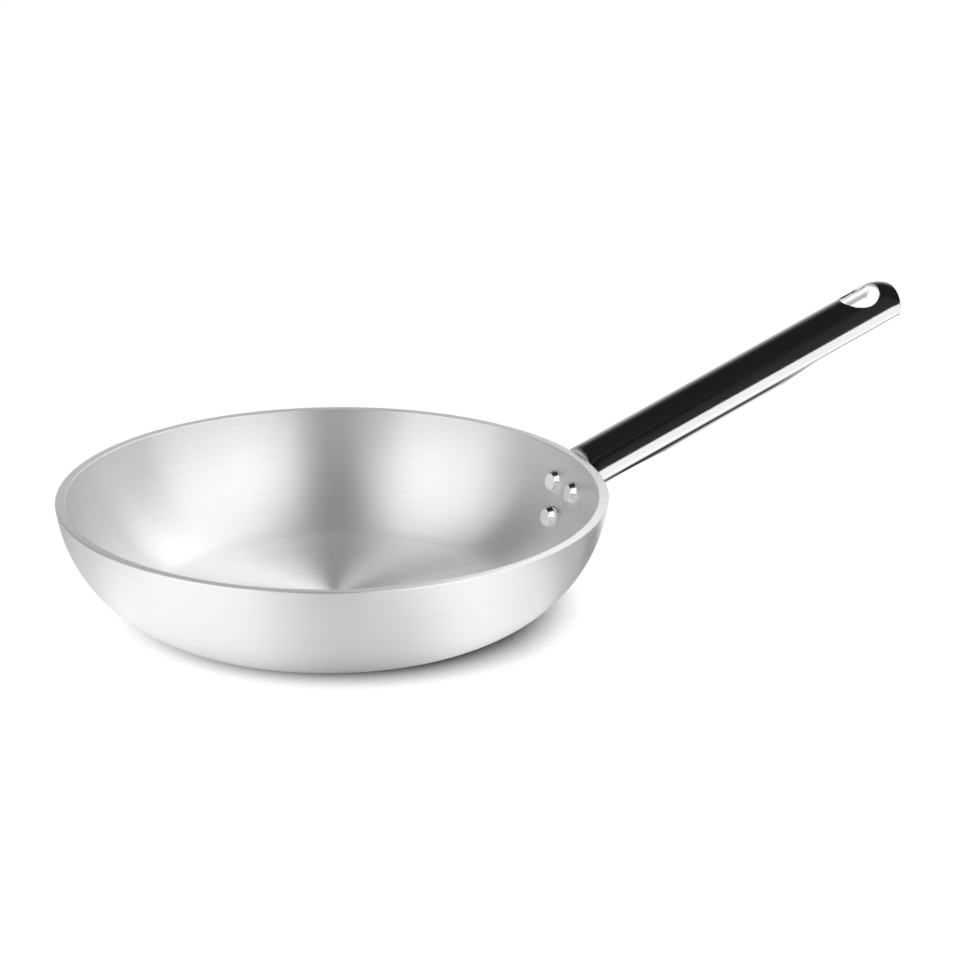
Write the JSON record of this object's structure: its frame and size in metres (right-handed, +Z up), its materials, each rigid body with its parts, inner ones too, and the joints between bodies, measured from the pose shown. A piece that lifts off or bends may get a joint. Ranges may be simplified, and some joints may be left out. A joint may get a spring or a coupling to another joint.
{
  "type": "omelette pan",
  "caption": "Round pressed pan with a bowed wall and a folded, rising steel handle riveted to the outside of the wall, with a hang hole at its end.",
  "frame": {"origin": "centre of the flat base, on the surface that the pan stands on", "axes": "+Z up, +X along the handle away from the pan, +Y to the left when looking along the handle"},
  "size_m": [0.4647, 0.2798, 0.1303],
  "materials": {
    "pan_aluminium": "satin, with fine concentric turning marks",
    "handle_steel": "polished",
    "rivet_aluminium": "satin"
  },
  "bodies": {
    "root": {"pan_body": "pan_aluminium", "handle": "handle_steel", "rivet_upper_left": "rivet_aluminium", "rivet_upper_right": "rivet_aluminium", "rivet_lower": "rivet_aluminium"}
  },
  "joints": []
}
